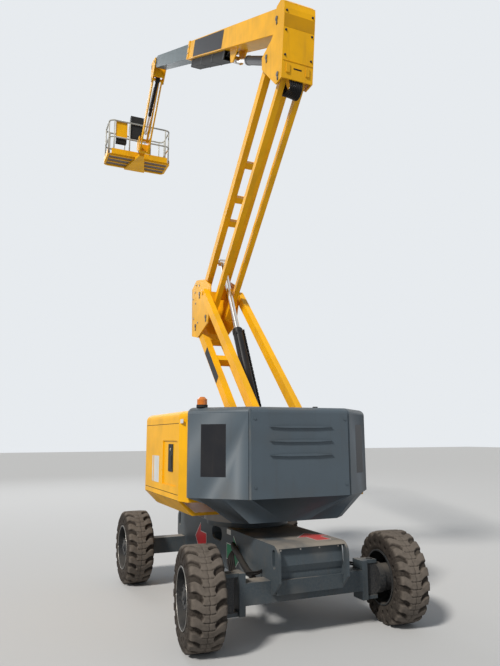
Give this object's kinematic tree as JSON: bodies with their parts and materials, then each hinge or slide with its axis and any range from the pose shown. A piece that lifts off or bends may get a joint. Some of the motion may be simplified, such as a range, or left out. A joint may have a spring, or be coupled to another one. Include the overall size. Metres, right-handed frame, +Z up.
{
  "type": "articulating boom lift",
  "caption": "Articulating boom lift: wheeled chassis, slewing turret, two stages of parallel arms, telescopic boom, jib and basket.",
  "frame": {"origin": "on the ground under the turret's slewing axis, midway between the axles and the wheels", "axes": "+X forward from the counterweight to the basket, +Y left, +Z up"},
  "size_m": [9.1033, 2.4702, 9.9699],
  "materials": {
    "chassis_grey": "satin paint, dusty",
    "lift_yellow": "gloss paint",
    "hood_yellow": "gloss gel coat",
    "ballast_grey": "satin paint on cast iron",
    "tyre_rubber": "dusty brownish black",
    "rim_dark": "matte paint",
    "engine_grey": "plain block",
    "ring_steel": "oiled steel",
    "rod_chrome": "polished",
    "cylinder_black": "satin black",
    "fly_green": "plain greyish primer",
    "beacon_orange": "translucent orange",
    "control_black": "moulded cover"
  },
  "bodies": {
    "chassis": {"chassis_frame": "chassis_grey", "slew_ring": "ring_steel", "front_axle": "chassis_grey", "rear_axle": "chassis_grey"},
    "knuckle_left": {"knuckle_left": "rim_dark"},
    "knuckle_right": {"knuckle_right": "rim_dark"},
    "wheel_front_left": {"tyre_front_left": "tyre_rubber", "rim_front_left": "rim_dark"},
    "wheel_front_right": {"tyre_front_right": "tyre_rubber", "rim_front_right": "rim_dark"},
    "wheel_rear_left": {"tyre_rear_left": "tyre_rubber", "rim_rear_left": "rim_dark"},
    "wheel_rear_right": {"tyre_rear_right": "tyre_rubber", "rim_rear_right": "rim_dark"},
    "turret": {"turret_frame": "chassis_grey", "trays": "lift_yellow", "engine": "engine_grey", "counterweight": "ballast_grey", "beacon": "beacon_orange"},
    "hood_left": {"hood_left": "hood_yellow"},
    "hood_right": {"hood_right": "hood_yellow"},
    "lower_arm": {"lower_arm": "lift_yellow"},
    "lower_links": {"lower_links": "lift_yellow"},
    "knuckle_housing": {"knuckle_housing": "lift_yellow"},
    "upper_arm": {"upper_arm": "lift_yellow"},
    "upper_links": {"upper_links": "lift_yellow"},
    "boom_head": {"boom_head": "lift_yellow"},
    "lift_barrel": {"lift_barrel": "cylinder_black"},
    "lift_rod": {"lift_rod": "rod_chrome"},
    "boom": {"boom": "lift_yellow", "hose_duct": "control_black"},
    "boom_lift_barrel": {"boom_lift_barrel": "cylinder_black"},
    "boom_lift_rod": {"boom_lift_rod": "rod_chrome"},
    "fly": {"fly": "fly_green"},
    "jib_foot": {"jib_foot": "lift_yellow"},
    "jib_arm": {"jib_arm": "lift_yellow"},
    "jib_links": {"jib_links": "lift_yellow"},
    "jib_lift_barrel": {"jib_lift_barrel": "cylinder_black"},
    "jib_lift_rod": {"jib_lift_rod": "rod_chrome"},
    "cage_bracket": {"cage_bracket": "lift_yellow"},
    "cage": {"cage_floor": "lift_yellow", "cage_rails": "lift_yellow", "cage_panels": "lift_yellow", "control_box": "control_black"},
    "gate_bar": {"gate_bar": "lift_yellow"}
  },
  "joints": [
    {"name": "slew", "type": "hinge", "parent": "chassis", "child": "turret", "pos_m": [0, 0, 1], "axis": [0, 0, 1], "continuous": true},
    {"name": "spin_front_left", "type": "hinge", "parent": "chassis", "child": "wheel_front_left", "pos_m": [1.33, 1.02, 0.44], "axis": [0, 1, 0], "continuous": true},
    {"name": "spin_front_right", "type": "hinge", "parent": "chassis", "child": "wheel_front_right", "pos_m": [1.33, -1.02, 0.44], "axis": [0, 1, 0], "continuous": true},
    {"name": "steer_left", "type": "hinge", "parent": "chassis", "child": "knuckle_left", "pos_m": [-1.33, 0.76, 0.44], "axis": [0, 0, 1], "range_deg": [-28.3, 41.7]},
    {"name": "spin_rear_left", "type": "hinge", "parent": "knuckle_left", "child": "wheel_rear_left", "pos_m": [-1.29967, 1.01822, 0.44], "axis": [0.1167, 0.9932, 0], "continuous": true},
    {"name": "steer_right", "type": "hinge", "parent": "chassis", "child": "knuckle_right", "pos_m": [-1.33, -0.76, 0.44], "axis": [0, 0, 1], "range_deg": [-28.3, 41.7]},
    {"name": "spin_rear_right", "type": "hinge", "parent": "knuckle_right", "child": "wheel_rear_right", "pos_m": [-1.36033, -1.01822, 0.44], "axis": [0.1167, 0.9932, 0], "continuous": true},
    {"name": "hood_left_open", "type": "hinge", "parent": "turret", "child": "hood_left", "pos_m": [0, 0.4, 2.075], "axis": [1, 0, 0], "range_deg": [0, 55]},
    {"name": "hood_right_open", "type": "hinge", "parent": "turret", "child": "hood_right", "pos_m": [0, -0.4, 2.075], "axis": [-1, 0, 0], "range_deg": [0, 55]},
    {"name": "lower_arm_lift", "type": "hinge", "parent": "turret", "child": "lower_arm", "pos_m": [-0.595, 0, 1.42], "axis": [0, -1, 0], "range_deg": [-35, 27]},
    {"name": "lower_links_turn", "type": "hinge", "parent": "turret", "child": "lower_links", "pos_m": [-1.13, 0, 1.78], "axis": [0, -1, 0], "range_deg": [-35, 27]},
    {"name": "knuckle_level", "type": "hinge", "parent": "lower_arm", "child": "knuckle_housing", "pos_m": [1.3948, 0, 3.4098], "axis": [0, -1, 0], "range_deg": [-27, 35]},
    {"name": "upper_arm_lift", "type": "hinge", "parent": "knuckle_housing", "child": "upper_arm", "pos_m": [1.2268, 0, 3.8498], "axis": [0, -1, 0], "range_deg": [-27, 35]},
    {"name": "upper_links_turn", "type": "hinge", "parent": "knuckle_housing", "child": "upper_links", "pos_m": [0.9468, 0, 3.4598], "axis": [0, -1, 0], "range_deg": [-27, 35]},
    {"name": "head_level", "type": "hinge", "parent": "upper_arm", "child": "boom_head", "pos_m": [-1.05009, 0, 6.12668], "axis": [0, -1, 0], "range_deg": [-35, 27]},
    {"name": "lift_barrel_turn", "type": "hinge", "parent": "turret", "child": "lift_barrel", "pos_m": [-0.595, 0, 1.42], "axis": [0, -1, 0], "range_deg": [-31.02, 23.93]},
    {"name": "lift_rod_slide", "type": "slide", "parent": "lift_barrel", "child": "lift_rod", "axis": [0.4572, 0, 0.8894], "range_m": [-0.715, 0.554]},
    {"name": "boom_lift", "type": "hinge", "parent": "boom_head", "child": "boom", "pos_m": [-1.33009, 0, 6.41968], "axis": [0, -1, 0], "range_deg": [-29.4, 45.6]},
    {"name": "boom_barrel_turn", "type": "hinge", "parent": "boom_head", "child": "boom_lift_barrel", "pos_m": [-1.05009, 0, 6.12668], "axis": [0, -1, 0], "range_deg": [-30.23, 46.88]},
    {"name": "boom_rod_slide", "type": "slide", "parent": "boom_lift_barrel", "child": "boom_lift_rod", "axis": [0.8349, 0, 0.5503], "range_m": [-0.202, 0.308]},
    {"name": "boom_extend", "type": "slide", "parent": "boom", "child": "fly", "axis": [0.8712, 0, 0.4909], "range_m": [-2.4, 0.55]},
    {"name": "foot_level", "type": "hinge", "parent": "fly", "child": "jib_foot", "pos_m": [4.7597, 0, 9.8511], "axis": [0, -1, 0], "range_deg": [-45.6, 29.4]},
    {"name": "jib_lift", "type": "hinge", "parent": "jib_foot", "child": "jib_arm", "pos_m": [4.9997, 0, 9.8911], "axis": [0, -1, 0], "range_deg": [-24, 116]},
    {"name": "jib_links_turn", "type": "hinge", "parent": "jib_foot", "child": "jib_links", "pos_m": [4.9997, 0, 9.5911], "axis": [0, -1, 0], "range_deg": [-24, 116]},
    {"name": "jib_barrel_turn", "type": "hinge", "parent": "jib_foot", "child": "jib_lift_barrel", "pos_m": [4.9997, 0, 9.5911], "axis": [0, -1, 0], "range_deg": [-23.87, 115.33]},
    {"name": "jib_rod_slide", "type": "slide", "parent": "jib_lift_barrel", "child": "jib_lift_rod", "axis": [0.8047, 0, -0.5936], "range_m": [-0.103, 0.461]},
    {"name": "bracket_level", "type": "hinge", "parent": "jib_arm", "child": "cage_bracket", "pos_m": [6.13199, 0, 8.71858], "axis": [0, -1, 0], "range_deg": [-116, 24]},
    {"name": "cage_turn", "type": "hinge", "parent": "cage_bracket", "child": "cage", "pos_m": [6.40999, 0, 8.71858], "axis": [0, 0, 1], "range_deg": [-90, 90]},
    {"name": "gate_lift", "type": "slide", "parent": "cage", "child": "gate_bar", "axis": [0, 0, 1], "range_m": [0, 0.36]}
  ],
  "couplings": [
    {"joint": "steer_right", "follows": "steer_left", "ratio": 1},
    {"joint": "lower_links_turn", "follows": "lower_arm_lift", "ratio": 1},
    {"joint": "knuckle_level", "follows": "lower_arm_lift", "ratio": -1},
    {"joint": "upper_arm_lift", "follows": "lower_arm_lift", "ratio": -1},
    {"joint": "upper_links_turn", "follows": "lower_arm_lift", "ratio": -1},
    {"joint": "head_level", "follows": "lower_arm_lift", "ratio": 1},
    {"joint": "lift_barrel_turn", "follows": "lower_arm_lift", "ratio": 0.8685},
    {"joint": "lift_rod_slide", "follows": "lower_arm_lift", "m_per_rad": 1.131},
    {"joint": "boom_barrel_turn", "follows": "boom_lift", "ratio": 1.0077},
    {"joint": "boom_rod_slide", "follows": "boom_lift", "m_per_rad": 0.36725},
    {"joint": "foot_level", "follows": "boom_lift", "ratio": -1},
    {"joint": "jib_links_turn", "follows": "jib_lift", "ratio": 1},
    {"joint": "jib_barrel_turn", "follows": "jib_lift", "ratio": 0.97464},
    {"joint": "jib_rod_slide", "follows": "jib_lift", "m_per_rad": 0.21829},
    {"joint": "bracket_level", "follows": "jib_lift", "ratio": -1}
  ]
}
